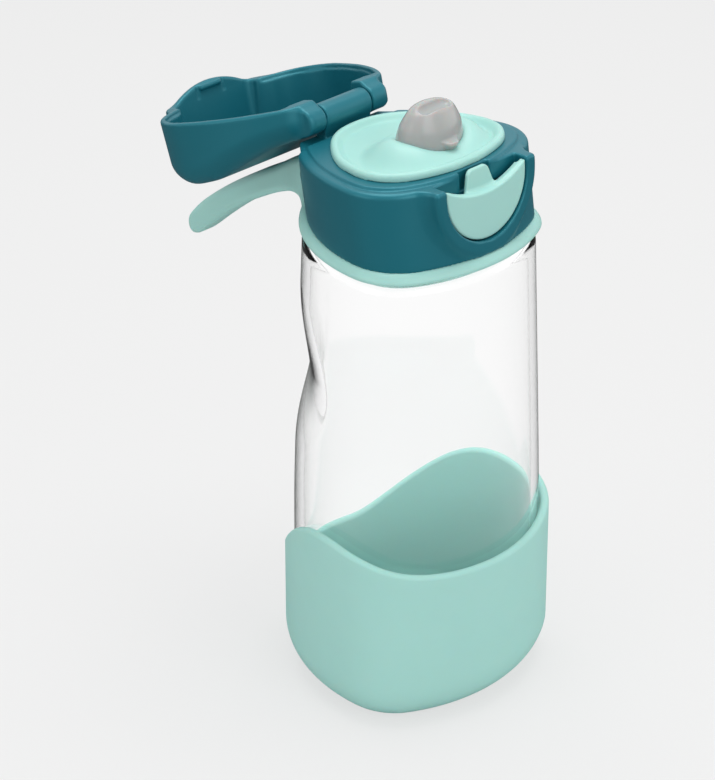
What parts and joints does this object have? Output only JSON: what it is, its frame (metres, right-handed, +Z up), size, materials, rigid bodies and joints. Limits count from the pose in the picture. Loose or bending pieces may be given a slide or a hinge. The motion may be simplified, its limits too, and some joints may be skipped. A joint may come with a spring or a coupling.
{
  "type": "glass water bottle",
  "caption": "Three-sided glass water bottle in a silicone boot, with a screw lid, a carry arm, a soft spout and a flip cover held by a press latch.",
  "frame": {"origin": "centre of the boot's flat base, on the bottle's axis", "axes": "+Z up along the bottle, -Y towards the latch, +Y towards the hinge and the carry arm"},
  "size_m": [0.0856, 0.1374, 0.1989],
  "materials": {
    "boot_silicone": "matt moulded silicone",
    "clear_glass": "clear polished glass",
    "teal_plastic": "satin moulded polypropylene",
    "mint_plastic": "satin moulded polypropylene",
    "spout_silicone": "translucent moulded silicone",
    "seal_silicone": "moulded silicone",
    "steel": "drawn stainless wire"
  },
  "bodies": {
    "boot": {"silicone_boot": "boot_silicone"},
    "bottle": {"glass_body": "clear_glass"},
    "neck_carrier": {"neck_gasket": "seal_silicone"},
    "lid": {"lid_collar": "teal_plastic", "handle_ring": "mint_plastic", "spout_tray": "mint_plastic", "tray_seal": "seal_silicone", "spout": "spout_silicone", "vent_valve": "seal_silicone", "hinge_pin": "steel", "latch_pin": "steel", "latch_spring": "steel"},
    "cover": {"flip_cover": "teal_plastic"},
    "button": {"latch_button": "mint_plastic"}
  },
  "joints": [
    {"name": "boot_slide", "type": "slide", "parent": "boot", "child": "bottle", "axis": [0, 0, 1], "range_m": [0, 0.07]},
    {"name": "lid_lift", "type": "slide", "parent": "bottle", "child": "neck_carrier", "axis": [0, 0, 1], "range_m": [0, 0.0101]},
    {"name": "lid_unscrew", "type": "hinge", "parent": "neck_carrier", "child": "lid", "pos_m": [0, 0, 0.17], "axis": [0, 0, 1], "range_deg": [0, 720]},
    {"name": "cover_hinge", "type": "hinge", "parent": "lid", "child": "cover", "pos_m": [0, 0.0309, 0.1858], "axis": [1, 0, 0], "range_deg": [0, 194.4]},
    {"name": "latch_press", "type": "hinge", "parent": "lid", "child": "button", "pos_m": [0, -0.02736, 0.16435], "axis": [-1, 0, 0], "range_deg": [0, 4], "stiffness_Nm_per_rad": 0.5}
  ],
  "couplings": [
    {"joint": "lid_lift", "follows": "lid_unscrew", "m_per_rad": 0.00079577}
  ]
}
